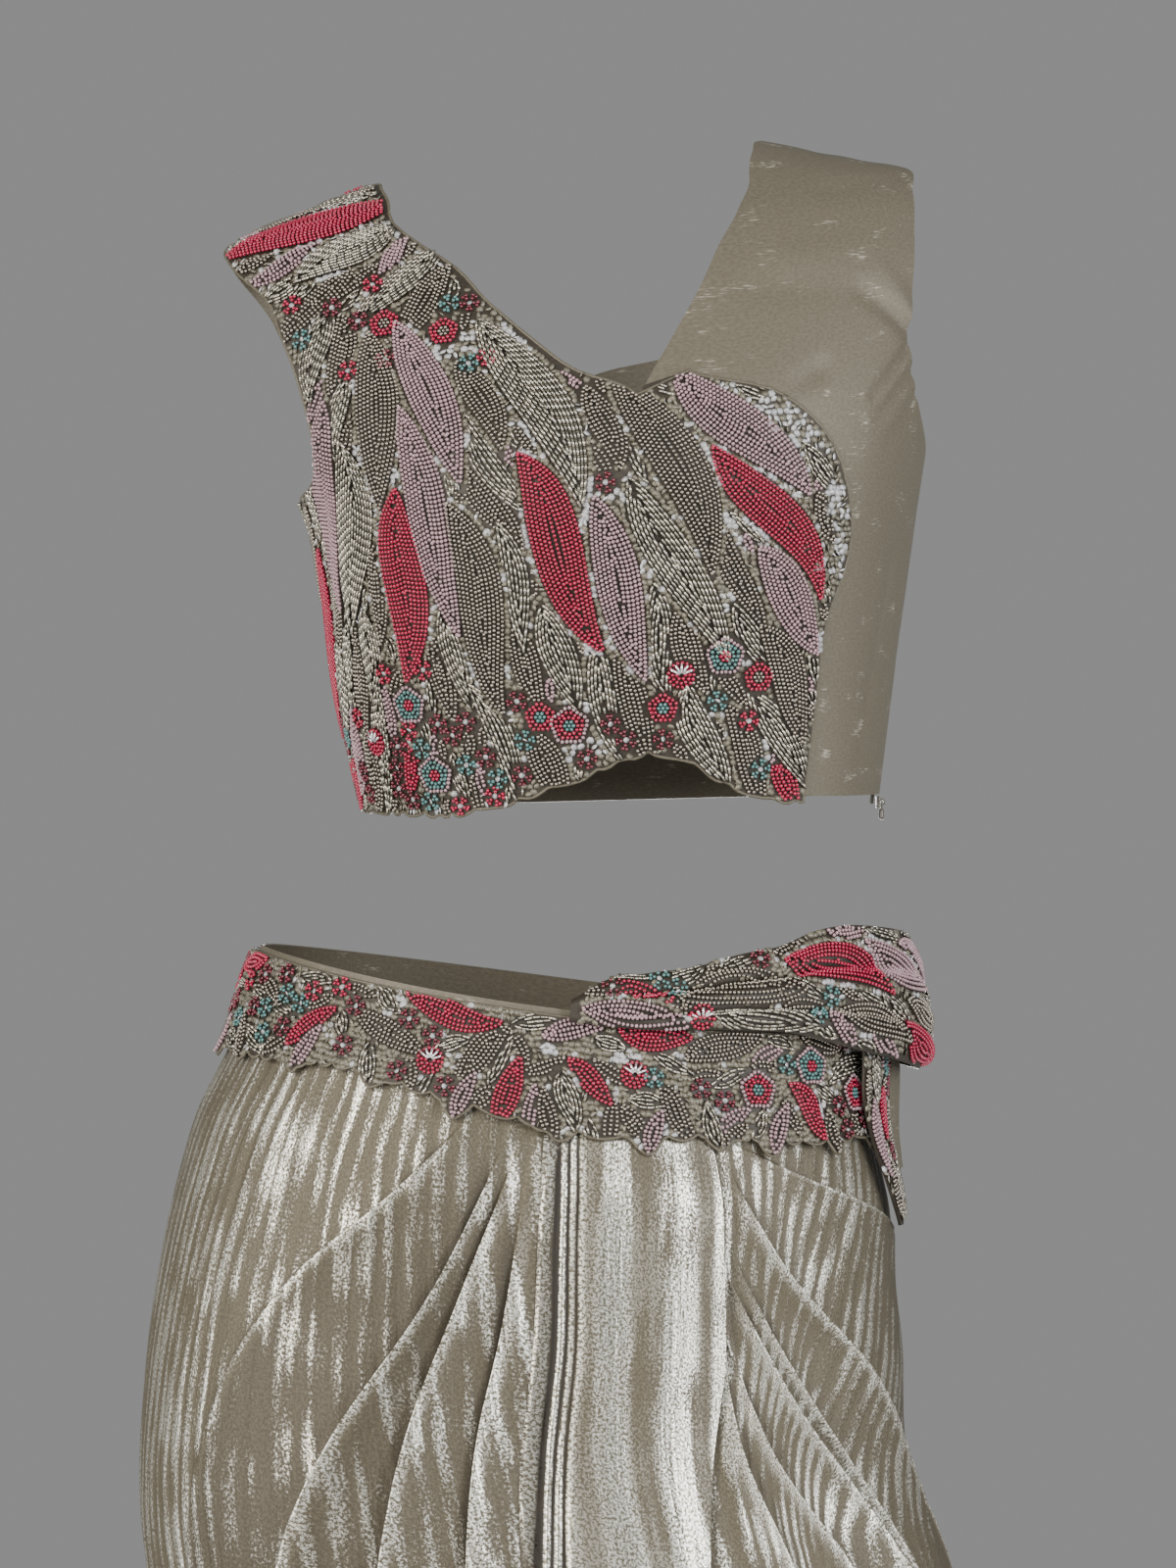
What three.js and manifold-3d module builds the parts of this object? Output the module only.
// A pre-draped sari set: a short blouse with one beaded side, a stitched drape
// with knife pleats, a beaded belt, and a folded sash with a hanging tail.
// Millimetres, +Z up. The front faces -Y, and the wearer's left side is +X.
// The origin is the middle of the waist opening, where the wearer holds it.
import * as THREE from "three";
import { mergeVertices } from "three/addons/utils/BufferGeometryUtils.js";
import Module from "manifold-3d";

// ---------- driving dimensions ----------
const CLOTH = 2; // wall of a cloth panel
const BEADWORK = 2; // wall of a beaded layer
const GAP = 0.3; // room between pieces that touch
const SEAM_DEG = 0.06; // half of a side or shoulder seam's gap, as an angle
const ROUNDING = 2 / 2.3; // how square the body sections are: 1 is an ellipse

const WAIST_TOP = 0; // top edge of the waistband
const WAISTBAND_LOW = -34; // where the drape is sewn to the waistband
const BELT_TOP = -2.5;
const BELT_WALL = 2.2;
const BELT_OFF = 1.35; // belt's inner face, off the waist line
const BELT_FLARE = 0.045; // how much further off it stands for each mm down
const HEM = -1032;
const FAR = -440; // height of the folds' last knot above the hem
const FOLDS_FULL = -84; // height where the folds reach their full depth

const TAIL_WALL = 2.4;
const SASH_WALL = 3;

// ---------- tables ----------
// Turns rows of numbers into objects with named columns.
function table(columns, rows) {
  return rows.map((row) => Object.fromEntries(columns.map((name, k) => [name, row[k]])));
}

// Body sections: each is a rounded oval at height z, centred on cx and cy,
// with its half width and its front and back depths. It leans by tilt towards
// +X, and its front drops by dip.
const SECTION = ["z", "cx", "cy", "half", "front", "back", "tilt", "dip"];

const BUST = table(SECTION, [
  [83, 28, 0, 117, 92, 78, 0.026, 0],
  [138, 25.5, 0, 126.5, 104, 84, 0.03, 0],
  [188, 25.5, 0, 133.5, 116, 90, 0.04, 0],
  [223, 24.5, 0, 140, 120, 94, 0.06, 0],
  [253, 20, 0, 150, 114, 97, 0.08, 0],
  [288, 14, 3, 163, 98, 99, 0.1, 0],
  [323, 8, 8, 172, 80, 95, 0.115, 0],
  [343, 5, 11, 170, 66, 85, 0.115, 0],
  [354, 5, 13, 160, 56, 76, 0.115, 0],
  [368, 5, 14, 118, 44, 62, 0.115, 0],
  [380, 5, 14, 78, 34, 48, 0.115, 0],
  [388, 5, 14, 52, 26, 38, 0.115, 0],
]);

const HIPS = table(SECTION, [
  [55, 13, 0, 113, 84, 78, -0.1, 4],
  [0, 0, 0, 137, 92, 88, -0.13, 9],
  [-47, -5.5, 0, 146.5, 100, 98, -0.13, 9],
  [-77, -8.5, 2, 157.5, 106, 108, -0.13, 8],
  [-107, -11.5, 3, 163.5, 110, 116, -0.13, 7],
  [-147, -14, 4, 170, 113, 121, -0.12, 5],
  [-197, -16.5, 3, 174.5, 116, 120, -0.1, 3],
  [-252, -9.5, 0, 183.5, 119, 116, -0.08, 2],
  [-292, -2, -2, 186, 121, 114, -0.06, 1],
  [-512, 19, -10, 205, 140, 120, -0.02, 0],
  [-762, 30, -15, 235, 168, 140, 0, 0],
  [HEM, 40, -20, 275, 205, 170, 0, 0],
]);

// Blouse panels, a row for each height from hem to shoulder: the outer edge
// (side seam, then armhole) and the inner edge (centre seam, then neckline).
const PANEL = ["outerDeg", "outerZ", "innerDeg", "innerZ"];

const FRONT_RIGHT = table(PANEL, [
  [-90, 85, 4.45, 106],
  [-90, 120, 4.45, 140],
  [-90, 160, 4.45, 180],
  [-90, 195, 4.45, 212],
  [-90, 226, 4.45, 245],
  [-68, 235.5, 4, 262],
  [-58.5, 252, -2.5, 276],
  [-53, 278, -6.5, 290],
  [-51, 305, -11.5, 310],
  [-52.5, 328, -17.5, 335],
  [-66, 346, -34, 362],
  [-82, 355, -61, 374],
  [-90, 357, -90, 377],
]);

// On the left front the beadwork laps over as far as a curved edge, the lap.
const FRONT_LEFT = table(["outerDeg", "outerZ", "lapDeg", "lapZ", "innerDeg", "innerZ"], [
  [90, 84, 40, 84, 4.6, 106],
  [90, 120, 41.5, 122, 4.6, 140],
  [90, 160, 42.3, 160, 4.6, 180],
  [90, 190, 46.8, 188, 4.6, 208],
  [90, 212, 46, 210, 4.6, 230],
  [90, 227, 39, 238, 4.6, 247],
  [74, 244, 27, 259, 4.7, 257],
  [65.5, 260, 12, 271, 5.2, 266],
  [60.5, 280, 32, 281, 9.5, 285],
  [59.3, 300, 34, 302, 14.5, 307],
  [60.5, 327, 38, 331, 20.5, 334],
  [66, 345, 50, 352, 32, 360],
  [80, 355, 66, 363, 52, 371],
  [90, 357, 90, 367, 90, 377],
]);
const LAP_ROWS = 8; // rows of the left front that the beadwork covers

const BACK = table(PANEL, [
  [90, 84, 180, 84],
  [90, 120, 180, 124],
  [90, 160, 180, 168],
  [90, 195, 180, 210],
  [90, 226, 180, 248],
  [112, 240, 180, 270],
  [121, 262, 180, 285],
  [126, 290, 166, 292],
  [127, 315, 156, 308],
  [122, 336, 146, 330],
  [108, 350, 128, 357],
  [97, 355, 108, 371],
  [90, 357, 90, 377],
]);

// Hem of the blouse: its front arches up at the middle.
const BLOUSE_HEM = table(["deg", "z"], [
  [-90, 85], [-60, 83], [-29, 83], [-16, 90], [-6, 97], [3, 106],
  [9, 104.5], [18, 94], [29, 85], [45, 84], [90, 84],
]);

// Lower edge of the belt: it dips at the middle of the front.
const BELT_EDGE = table(["deg", "z"], [
  [-90, -44], [-58, -44], [-34, -39.5], [-20, -43], [-6, -48],
  [8, -52], [24, -48], [45, -48.5], [90, -45], [180, -45], [270, -44],
]);

// Folds of the drape. Each crest starts at height "from" and runs down by way
// of two knots, then FAR, to the hem: its place round the body in degrees, and
// its rise. The lip is how far off the foot of its steep side lies, and on
// which side.
const FOLD = [
  "from", "deg0", "mid", "deg1", "rise1", "low", "deg2", "rise2",
  "deg3", "rise3", "deg4", "rise4", "lip",
];

const RIGHT_FOLDS = table(FOLD, [
  [-240, -80, -300, -80, 2, -360, -80, 4, -80, 6, -82, 11, -2.5],
  [-44, -8.5, -99, -22, 5, -131, -33, 4, -66, 0, -73, 5, -1.8],
  [-46, -3.2, -136, -12.2, 6.5, -245, -31.8, 10, -52, 11, -62, 14, -1.7],
  [-50, -1.6, -145, -9, 6, -252, -18.2, 10, -32, 11, -44, 14, -1.6],
  [-54, -0.8, -162, -3.2, 4.5, -247, -7.2, 7, -16, 9, -27, 12, -1.3],
]);

const LEFT_FOLDS = table(FOLD, [
  [-146, 26.8, -172, 28.2, 4, -242, 33.5, 8, 38.5, 9, 44, 13, 1.3],
  [-138, 27.1, -197, 35.8, 6, -242, 44.2, 9, 50.5, 10, 56, 13, 1.4],
  [-108, 27.4, -159, 37, 6, -222, 54.2, 9, 62, 9, 67, 12, 1.4],
  [-94, 27.7, -151, 39, 4, -213, 57, 5, 71, 5, 77, 8, 1.2],
  [-62, 28, -115, 41.5, 6.5, -170, 67, 6, 79, 4, 83, 3, 1.6],
  [-50, 28.3, -68, 48.8, 3.5, -87, 80, 2, 86, 0, 87, 0, 1.6],
]);

const BACK_FOLDS = table(FOLD, [
  [-90, 101, -200, 101, 2, -320, 101, 5, 101, 7, 101, 13, 3],
  [-70, 122, -200, 122, 3, -320, 122, 6, 121.5, 8, 121, 14, 3],
  [-90, 143, -200, 143, 2, -320, 143, 5, 143, 7, 142, 13, 3],
  [-60, 164, -200, 164, 3, -320, 164, 6, 163.5, 8, 163, 14, 3],
]);

// Edges of the knife pleats, from the narrow ones to the wide one on top:
// place at the waist, at two knots and at the hem, and the heights of the
// layer under the edge and of the layer that it ends.
const PLEAT = ["deg0", "mid", "deg1", "low", "deg2", "deg3", "under", "over"];

const PLEATS = table(PLEAT, [
  [0.2, -190, 0.5, -250, -1, -11, 1.5, 2],
  [1.8, -190, 2.7, -250, 0.6, -7.5, 2, 3.5],
  [2.9, -190, 3.9, -250, 1.6, -4, 3, 4.8],
  [4, -190, 5, -250, 2.8, 0, 4, 6.2],
  [14, -190, 13.6, -250, 11, 7, 6.6, 6.8],
  [23.6, -190, 21, -250, 17.8, 13, 6.2, 6.2],
  [26.2, -190, 25.2, -250, 20.6, 16, 5, 5],
]);

// Folded sash over the wearer's left hip: its edges, how far off the body its
// roll stands, and how far off its upper rim stands.
const SASH = table(["deg", "top", "low", "off", "rim"], [
  [1, 4, -4, 6.8, 4.6],
  [5, 13, -4, 7.4, 4],
  [12, 18, -4, 7.6, 3.8],
  [21, 22, -2, 8.5, 4],
  [31, 28, -1, 9.5, 4.4],
  [42, 32, -1.5, 10.5, 5],
  [52, 38, -5, 12, 7],
  [63, 41, -9, 16, 11],
  [76, 41, -13, 24, 19],
  [90, 39, -17, 31, 27],
  [104, 34, -17, 26, 22],
  [118, 24, -13, 14, 10],
  [130, 15, -8, 7.2, 4.4],
]);
// The roll across the sash: share of the way down, how far it has swelled from
// the rim to the roll, and what is left of the roll where it turns under.
const SASH_ROLL = table(["down", "swell", "left"], [
  [0, 0, 1], [0.12, 0.68, 1], [0.35, 1, 1], [0.7, 1, 1], [0.9, 1, 0.94], [1, 1, 0.8],
]);

// The sash's end hangs from inside its roll: a beaded tail, and a plain fold.
const HANGING = ["z", "from", "to", "off", "offTo"];
const TAIL = table(HANGING, [
  [-8, 66, 87, 10, 10],
  [-18, 65.5, 87, 10, 10],
  [-30, 66, 87, 9, 9],
  [-47, 69, 87, 8, 8],
  [-64, 72, 87, 7.2, 7.2],
  [-78, 75, 85.5, 6.6, 6.6],
  [-88, 79, 83.5, 6.2, 6.2],
]);
const TAIL_FOLD = table(HANGING, [
  [-10, 87.4, 97, 11, 17.5],
  [-20, 87.4, 97, 11, 17.5],
  [-36, 87.4, 96.5, 10.5, 16],
  [-50, 87.4, 95, 9.5, 13.5],
  [-64, 87.4, 92.5, 8, 10.5],
]);

// Zip in the wearer's left side seam; its slider and pull sit below the hem.
const ZIP_TOP = 214;
const ZIP_LOW = 79.5;
const ZIP_HALF_DEG = 3.4;
const ZIP_INSIDE = 1.1; // room between the tape and the cloth round the seam
const ZIP_WALL = 1.2;
const SLIDER = { wide: 4, tall: 5.4, thick: 1.6, z: 80.2 };
const BRIDGE = { bore: 0.95, ring: 0.8, wide: 1.6, sides: 16 };
const PULL = { wide: 3.6, long: 8.2, thick: 0.8, rail: 0.6, slot: 2.2 };

// ---------- smooth tables and body forms ----------
// Smooth value of column "value" at x, through the rows sorted by column "key":
// cubic pieces whose slope at a row leans to that of the shorter piece beside it.
function smooth(rows, key, value, x) {
  const order = rows[0][key] < rows[rows.length - 1][key] ? rows : [...rows].reverse();
  const last = order.length - 1;
  const width = (k) => order[k + 1][key] - order[k][key];
  const steep = (k) => (order[k + 1][value] - order[k][value]) / width(k);
  const slope = (k) => {
    if (k === 0) return steep(0);
    if (k === last) return steep(last - 1);
    return (steep(k - 1) * width(k) + steep(k) * width(k - 1)) / (width(k - 1) + width(k));
  };
  const at = Math.min(Math.max(x, order[0][key]), order[last][key]);
  let k = 0;
  while (k < last - 1 && order[k + 1][key] < at) k += 1;
  const t = (at - order[k][key]) / width(k);
  const blend = t * t * (3 - 2 * t);
  return (
    order[k][value] * (1 - blend) +
    order[k + 1][value] * blend +
    width(k) * (t * (1 - t) * (1 - t) * slope(k) - t * t * (1 - t) * slope(k + 1))
  );
}

const mix = (a, b, t) => a + (b - a) * t;
const rounded = (value) => Math.sign(value) * Math.abs(value) ** ROUNDING;
const radians = THREE.MathUtils.degToRad;

// Point of a body form: deg is 0 at the centre front, 90 at the wearer's left
// side and 180 at the back; "off" is how far it stands off, level with the floor.
function onForm(form, deg, z, off = 0) {
  const at = (name) => smooth(form, "z", name, z);
  const sine = Math.sin(radians(deg));
  const cosine = Math.cos(radians(deg));
  const across = (at("half") + off) * rounded(sine);
  const depth = (cosine > 0 ? at("front") : at("back")) + off;
  const drop = at("dip") * Math.max(cosine, 0) ** 2;
  return new THREE.Vector3(
    at("cx") + across,
    at("cy") - depth * rounded(cosine),
    z + at("tilt") * across - drop,
  );
}

// The same, but standing off square to the surface, as over a shoulder.
function squareOff(form, deg, z, off) {
  const round = onForm(form, deg + 0.5, z).sub(onForm(form, deg - 0.5, z));
  const rise = onForm(form, deg, z + 0.5).sub(onForm(form, deg, z - 0.5));
  const normal = round.cross(rise).normalize();
  return onForm(form, deg, z).addScaledVector(normal, off);
}

// ---------- closed walls ----------
// A closed wall over a grid of rows and columns. place(row, column, side) gives
// a corner on the inner (side 0) or the outer (side 1) face; a rim joins them.
function wall(rows, columns, place) {
  const positions = [];
  const index = [];
  for (let side = 0; side < 2; side += 1) {
    for (let i = 0; i < rows; i += 1) {
      for (let j = 0; j < columns; j += 1) positions.push(...place(i, j, side).toArray());
    }
  }
  const inner = (i, j) => i * columns + j;
  const outer = (i, j) => (rows + i) * columns + j;
  const quad = (a, b, c, d) => index.push(a, b, c, a, c, d);
  const top = rows - 1;
  const end = columns - 1;
  for (let i = 0; i < top; i += 1) {
    for (let j = 0; j < end; j += 1) {
      quad(outer(i, j), outer(i, j + 1), outer(i + 1, j + 1), outer(i + 1, j));
      quad(inner(i, j), inner(i + 1, j), inner(i + 1, j + 1), inner(i, j + 1));
    }
    quad(outer(i, 0), outer(i + 1, 0), inner(i + 1, 0), inner(i, 0));
    quad(outer(i + 1, end), outer(i, end), inner(i, end), inner(i + 1, end));
  }
  for (let j = 0; j < end; j += 1) {
    quad(outer(0, j + 1), outer(0, j), inner(0, j), inner(0, j + 1));
    quad(outer(top, j), outer(top, j + 1), inner(top, j + 1), inner(top, j));
  }
  const geometry = new THREE.BufferGeometry();
  geometry.setAttribute("position", new THREE.Float32BufferAttribute(positions, 3));
  geometry.setIndex(index);
  return geometry;
}

// Turns a mesh whose columns run backwards the right way out.
function turned(geometry) {
  const index = geometry.getIndex().array;
  for (let k = 0; k < index.length; k += 3) {
    [index[k + 1], index[k + 2]] = [index[k + 2], index[k + 1]];
  }
  return geometry;
}

// ---------- blouse ----------
const HEM_EASING = [1, 0.6, 0.3, 0.1]; // how far the lowest rows follow the hem

// Moves an edge that lies on a side, shoulder or back seam just off the seam's
// line, into its own panel: "inside" is an angle that lies within the panel.
function offSeam(deg, inside) {
  const onSeam = [-90, 90, 180].includes(deg);
  return onSeam ? deg + Math.sign(inside - deg) * SEAM_DEG : deg;
}

// Points of a panel, as rows of angle and height from its outer to its inner
// edge. "stops" names the edges that a row runs by way of, "spans" gives the
// steps between them, and "inside" is an angle within the panel.
function panelPoints(rows, { stops, spans, inside, hemmed }) {
  return rows.map((row, i) => spans.flatMap((steps, k) => {
    const first = k === 0 ? 0 : 1;
    return Array.from({ length: steps + 1 - first }, (_, n) => {
      const t = (n + first) / steps;
      const blend = (from, part) => mix(from[stops[k] + part], from[stops[k + 1] + part], t);
      const deg = blend(row, "Deg");
      const lift = smooth(BLOUSE_HEM, "deg", "z", blend(rows[0], "Deg")) - blend(rows[0], "Z");
      const z = blend(row, "Z") + (hemmed ? lift * (HEM_EASING[i] ?? 0) : 0);
      return { deg: offSeam(deg, inside), z };
    });
  }));
}

// A wall on some rows and columns of a panel's points, between two distances
// off its middle surface. "mirror" of -1 swaps left and right.
function panelWall(points, { low, high, rows = points.length, from = 0, mirror = 1 }) {
  const columns = points[0].length - from;
  const place = (i, j, side) => {
    const { deg, z } = points[i][j + from];
    return squareOff(BUST, deg * mirror, z, side ? high : low);
  };
  const runsBack = points[0][from].deg * mirror > points[0][from + 1].deg * mirror;
  const geometry = wall(rows, columns, place);
  return runsBack ? turned(geometry) : geometry;
}

// ---------- drape ----------
// Where a fold's crest lies, and how far it rises, at a height.
function foldAt(fold, z) {
  const knots = table(["z", "deg", "rise"], [
    [fold.from, fold.deg0, 0],
    [fold.mid, fold.deg1, fold.rise1],
    [fold.low, fold.deg2, fold.rise2],
    [FAR, fold.deg3, fold.rise3],
    [HEM, fold.deg4, fold.rise4],
  ]);
  return {
    deg: smooth(knots, "z", "deg", z),
    rise: Math.max(smooth(knots, "z", "rise", z), 0),
  };
}

// Guide lines across a stretch of folds at a height: from edge to edge, each
// fold gives its gentle slope, its crest and the foot of its steep side.
function foldGuides(folds, first, last, z) {
  const guides = [{ deg: first, off: 0 }];
  folds.forEach((fold, k) => {
    const { deg, rise } = foldAt(fold, z);
    const foot = { deg: deg + fold.lip, off: 0 };
    const crest = { deg, off: rise };
    if (fold.lip > 0) {
      const before = guides[guides.length - 1].deg;
      guides.push({ deg: mix(before, deg, 0.5), off: rise * 0.4 }, crest, foot);
    } else {
      const next = folds[k + 1];
      const after = next ? foldAt(next, z).deg + next.lip : last;
      guides.push(foot, crest, { deg: mix(deg, after, 0.5), off: rise * 0.4 });
    }
  });
  guides.push({ deg: last, off: 0 });
  return guides;
}

function pleatGuides(z) {
  return PLEATS.flatMap((pleat) => {
    const knots = table(["z", "deg"], [
      [WAISTBAND_LOW, pleat.deg0],
      [pleat.mid, pleat.deg1],
      [pleat.low, pleat.deg2],
      [HEM, pleat.deg3],
    ]);
    const deg = smooth(knots, "z", "deg", z);
    const edge = { deg, off: pleat.over };
    return pleat.over > pleat.under ? [{ deg: deg - 0.5, off: pleat.under }, edge] : [edge];
  });
}

const MIN_STEP_DEG = 0.2; // least room between two guide lines

// Keeps guide lines in order: each stays a least step after the one before it,
// and the last ones are pressed back inside the stretch's own edge.
function ordered(guides) {
  const degs = guides.map((guide) => guide.deg);
  const end = degs.length - 1;
  for (let k = 1; k <= end; k += 1) degs[k] = Math.max(degs[k], degs[k - 1] + MIN_STEP_DEG);
  degs[end] = guides[end].deg;
  for (let k = end - 1; k > 0; k -= 1) degs[k] = Math.min(degs[k], degs[k + 1] - MIN_STEP_DEG);
  return guides.map((guide, k) => ({ deg: degs[k], off: guide.off }));
}

const DRAPE_TOP = WAISTBAND_LOW - 2 * GAP;
const DRAPE_HEIGHTS = [
  DRAPE_TOP, -48, -55, -62, -70, -80, -90, -100, -122, -146, -172, -202, -234, -280, -360, -480,
  -660, -840, HEM,
];
const BACK_HEIGHTS = [DRAPE_TOP, -60, -110, -170, -250, -400, -600, -820, HEM];

function drapeStretch(heights, guidesAt) {
  const rows = heights.map((z) => {
    const full = THREE.MathUtils.smoothstep(WAISTBAND_LOW - z, 0, WAISTBAND_LOW - FOLDS_FULL);
    return ordered(guidesAt(z)).map((guide) => ({ ...guide, z, off: guide.off * full }));
  }).reverse();
  const place = (i, j, side) => {
    const { deg, z, off } = rows[i][j];
    return onForm(HIPS, deg, z, off + (side - 0.5) * CLOTH);
  };
  return wall(rows.length, rows[0].length, place);
}

// The pleats' own edges, where the stretches beside them start.
function pleatEdge(z, which, gapDeg) {
  const guides = ordered(pleatGuides(z));
  const edge = which === "first" ? guides[0] : guides[guides.length - 1];
  return edge.deg + gapDeg;
}

// ---------- bands round the waist ----------
const BAND_COLUMNS = 19;

function band(from, to, rows, place) {
  const degAt = (j) => mix(from, to, j / (BAND_COLUMNS - 1));
  return wall(rows, BAND_COLUMNS, (i, j, side) => place(i / (rows - 1), degAt(j), side));
}

function waistband(from, to) {
  return band(from, to, 2, (up, deg, side) =>
    onForm(HIPS, deg, mix(WAISTBAND_LOW, WAIST_TOP, up), (side - 0.5) * CLOTH));
}

function beltWall(from, to) {
  return band(from, to, 3, (up, deg, side) => {
    const z = mix(smooth(BELT_EDGE, "deg", "z", deg), BELT_TOP, up);
    return onForm(HIPS, deg, z, BELT_OFF + BELT_FLARE * (BELT_TOP - z) + side * BELT_WALL);
  });
}

function sashWrap() {
  const across = [...SASH_ROLL].reverse();
  const place = (i, j, side) => {
    const { deg, top, low, off, rim } = SASH[j];
    const { down, swell, left } = across[i];
    const middle = mix(rim, off, swell) * left;
    return onForm(HIPS, deg, mix(top, low, down), middle + (side - 0.5) * SASH_WALL);
  };
  return wall(across.length, SASH.length, place);
}

function hanging(rows, columns) {
  const upward = [...rows].reverse();
  const place = (i, j, side) => {
    const { z, from, to, off, offTo } = upward[i];
    const along = j / (columns - 1);
    const middle = mix(off, offTo, along);
    return onForm(HIPS, mix(from, to, along), z, middle + (side - 0.5) * TAIL_WALL);
  };
  return wall(upward.length, columns, place);
}

// ---------- zip ----------
const wasm = await Module();
wasm.setup();

function solid(geometry) {
  const bare = geometry.clone();
  bare.deleteAttribute("normal");
  bare.deleteAttribute("uv");
  const merged = mergeVertices(bare, 1e-4);
  return new wasm.Manifold(new wasm.Mesh({
    numProp: 3,
    vertProperties: new Float32Array(merged.getAttribute("position").array),
    triVerts: new Uint32Array(merged.getIndex().array),
  }));
}

function geometryOf(manifold) {
  const { vertProperties, triVerts } = manifold.getMesh();
  const geometry = new THREE.BufferGeometry();
  geometry.setAttribute("position", new THREE.Float32BufferAttribute(vertProperties, 3));
  geometry.setIndex([...triVerts]);
  return geometry;
}

function zipTape() {
  const heights = [ZIP_LOW, 100, 135, 175, ZIP_TOP];
  const columns = 5;
  const place = (i, j, side) => {
    const deg = mix(90 - ZIP_HALF_DEG, 90 + ZIP_HALF_DEG, j / (columns - 1));
    return squareOff(BUST, deg, heights[i], -CLOTH / 2 - ZIP_INSIDE - (1 - side) * ZIP_WALL);
  };
  return wall(heights.length, columns, place);
}

// The slider's plate hangs in line with the side seam. Its bridge is a ring
// that stands out from the plate, and the pull's bar lies in that ring.
const slider = onForm(BUST, 90, SLIDER.z);
const hinge = slider.clone().setX(slider.x + SLIDER.thick / 2 + BRIDGE.bore);

function zipSlider() {
  const plate = new THREE.BoxGeometry(SLIDER.thick, SLIDER.wide, SLIDER.tall);
  plate.translate(slider.x, slider.y, slider.z);
  const ring = new THREE.Shape();
  ring.absarc(0, 0, BRIDGE.bore + BRIDGE.ring, 0, Math.PI * 2);
  const bore = new THREE.Path();
  bore.absarc(0, 0, BRIDGE.bore, 0, Math.PI * 2, true);
  ring.holes.push(bore);
  const bridge = new THREE.ExtrudeGeometry(ring, {
    depth: BRIDGE.wide,
    bevelEnabled: false,
    curveSegments: BRIDGE.sides,
  });
  bridge.rotateX(Math.PI / 2);
  bridge.translate(hinge.x, hinge.y + BRIDGE.wide / 2, hinge.z);
  return geometryOf(solid(bridge).add(solid(plate)));
}

// The pull hangs straight down from the hinge: a rounded tab with a slot, whose
// upper edge is the bar that lies in the bridge.
function zipPull() {
  const half = PULL.wide / 2;
  const bar = PULL.thick / 2;
  const tab = new THREE.Shape();
  tab.moveTo(-half, bar);
  tab.lineTo(-half, half - PULL.long);
  tab.absarc(0, half - PULL.long, half, Math.PI, Math.PI * 2, false);
  tab.lineTo(half, bar);
  tab.closePath();
  const slot = new THREE.Path();
  slot.moveTo(-half + PULL.rail, -bar);
  slot.lineTo(half - PULL.rail, -bar);
  slot.lineTo(half - PULL.rail, -bar - PULL.slot);
  slot.lineTo(-half + PULL.rail, -bar - PULL.slot);
  slot.closePath();
  tab.holes.push(slot);
  const geometry = new THREE.ExtrudeGeometry(tab, {
    depth: PULL.thick,
    bevelEnabled: false,
    curveSegments: 10,
  });
  geometry.rotateX(Math.PI / 2);
  geometry.rotateZ(Math.PI / 2);
  geometry.translate(hinge.x - PULL.thick / 2, hinge.y, hinge.z);
  return geometry;
}

// ---------- finishes ----------
const finish = (color, roughness, metalness) =>
  new THREE.MeshStandardMaterial({ color, roughness, metalness, side: THREE.DoubleSide });
const PLAIN_LAME = () => finish("#8a8270", 0.5, 0.35);
const FOIL_LAME = () => finish("#a39b84", 0.4, 0.5);
const BEADS = () => finish("#a4626b", 0.45, 0.1);
const TAPE = () => finish("#4a463e", 0.8, 0);
const STEEL = () => finish("#b9b6ae", 0.3, 0.9);

// ---------- assembly ----------
const sari = new THREE.Group();

function add(name, geometry, material) {
  const mesh = new THREE.Mesh(geometry, material);
  mesh.name = name;
  sari.add(mesh);
}

const half = CLOTH / 2;
const cloth = { low: -half, high: half };
const beads = { low: half + GAP, high: half + GAP + BEADWORK };
const EDGES = ["outer", "inner"];
const LAPPED = ["outer", "lap", "inner"];
const LAP_STEPS = [5, 5];

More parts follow.
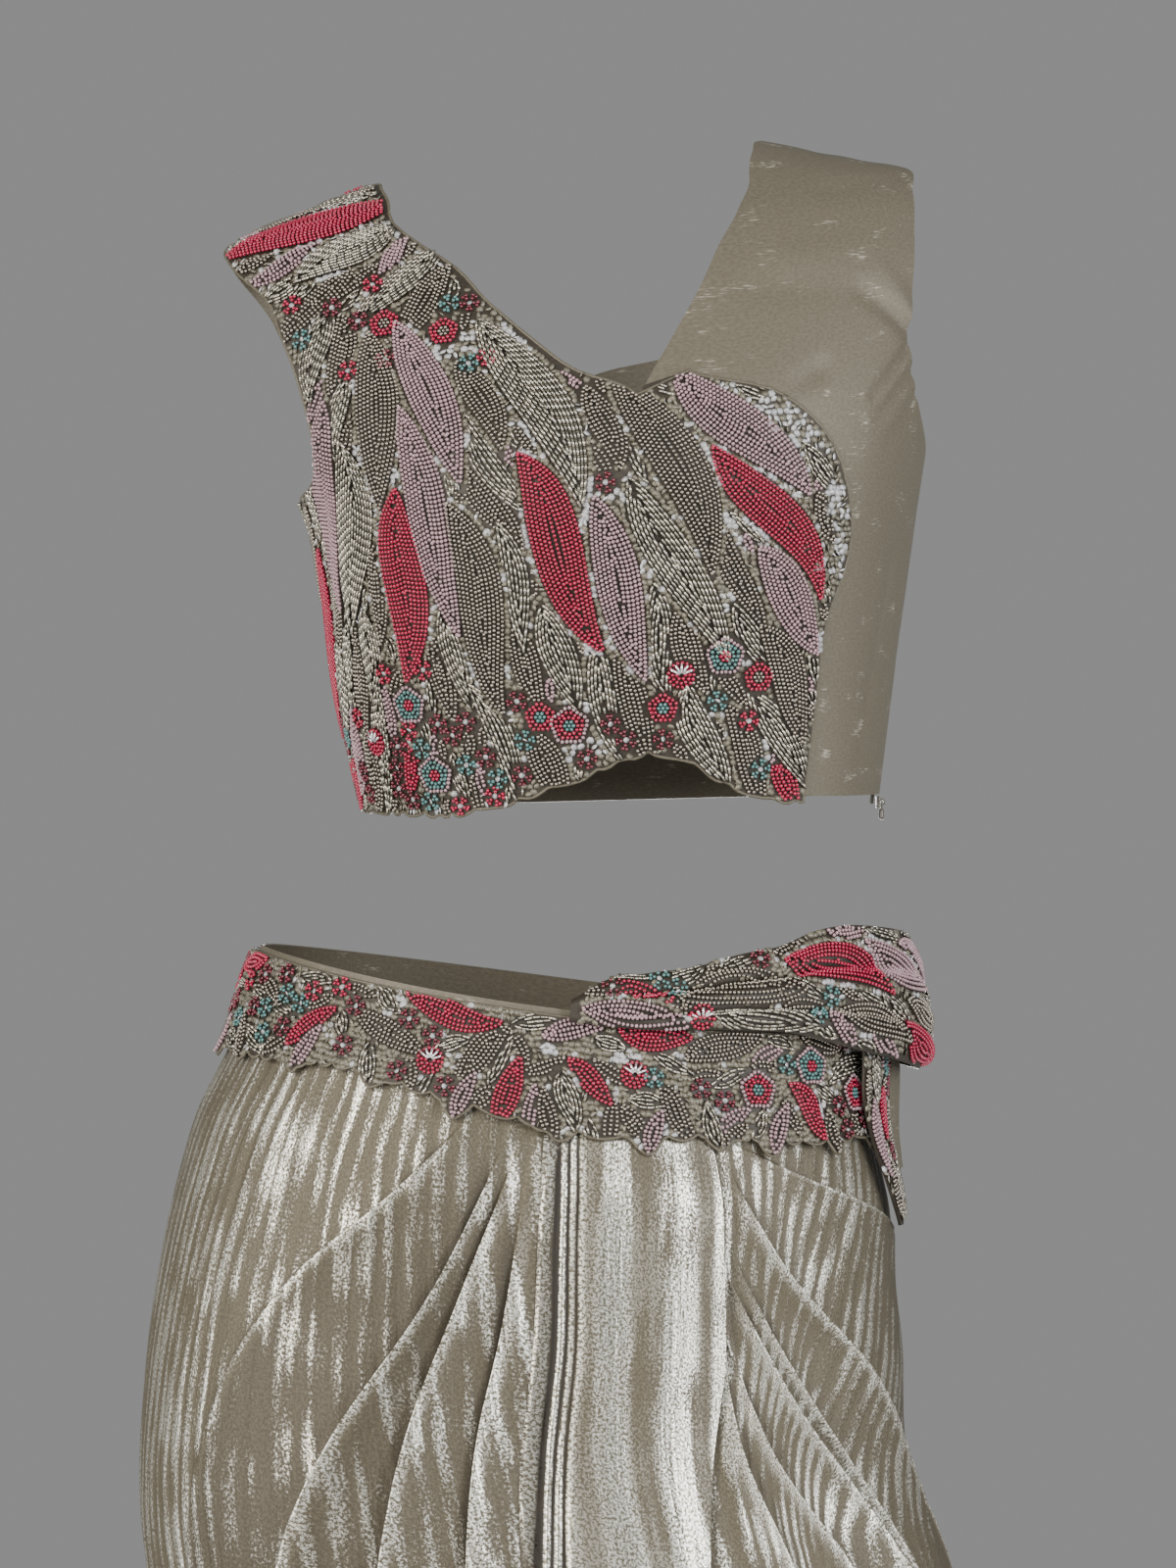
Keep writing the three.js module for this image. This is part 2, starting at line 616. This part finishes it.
const rightPoints = panelPoints(FRONT_RIGHT, { stops: EDGES, spans: [9], inside: -45, hemmed: true });
const leftPoints = panelPoints(FRONT_LEFT, { stops: LAPPED, spans: LAP_STEPS, inside: 45, hemmed: true });
const backPoints = panelPoints(BACK, { stops: EDGES, spans: [8], inside: 135, hemmed: false });
add("blouse_front_right", panelWall(rightPoints, cloth), PLAIN_LAME());
add("blouse_front_left", panelWall(leftPoints, cloth), PLAIN_LAME());
add("blouse_back_left", panelWall(backPoints, cloth), PLAIN_LAME());
add("blouse_back_right", panelWall(backPoints, { ...cloth, mirror: -1 }), PLAIN_LAME());
add("beadwork_right", panelWall(rightPoints, beads), BEADS());
add("beadwork_left", panelWall(leftPoints, { ...beads, rows: LAP_ROWS, from: LAP_STEPS[0] }), BEADS());

add("zip_tape", zipTape(), TAPE());
add("zip_slider", zipSlider(), STEEL());
add("zip_pull", zipPull(), STEEL());

const SIDES = [["front", -90, 90], ["back", 90, 270]];
for (const [side, start, stop] of SIDES) {
  add(`waistband_${side}`, waistband(start + SEAM_DEG, stop - SEAM_DEG), PLAIN_LAME());
  add(`belt_${side}`, beltWall(start + SEAM_DEG, stop - SEAM_DEG), BEADS());
}

const EDGE_DEG = 0.15; // gap between the pleats and the stretches beside them
add("drape_right", drapeStretch(DRAPE_HEIGHTS, (z) =>
  foldGuides(RIGHT_FOLDS, -90 + SEAM_DEG, pleatEdge(z, "first", -EDGE_DEG), z)), FOIL_LAME());
add("front_pleats", drapeStretch(DRAPE_HEIGHTS, pleatGuides), FOIL_LAME());
add("drape_left", drapeStretch(DRAPE_HEIGHTS, (z) =>
  foldGuides(LEFT_FOLDS, pleatEdge(z, "last", EDGE_DEG), 90 - SEAM_DEG, z)), FOIL_LAME());
add("drape_back_left", drapeStretch(BACK_HEIGHTS, (z) =>
  foldGuides(BACK_FOLDS, 90 + SEAM_DEG, 180 - SEAM_DEG, z)), FOIL_LAME());
add("drape_back_right", drapeStretch(BACK_HEIGHTS, (z) =>
  foldGuides(BACK_FOLDS, 90 + SEAM_DEG, 180 - SEAM_DEG, z).map((guide) =>
    ({ ...guide, deg: 360 - guide.deg })).reverse()), FOIL_LAME());

add("sash_wrap", sashWrap(), BEADS());
add("sash_tail", hanging(TAIL, 5), BEADS());
add("sash_tail_fold", hanging(TAIL_FOLD, 3), PLAIN_LAME());

export default sari;
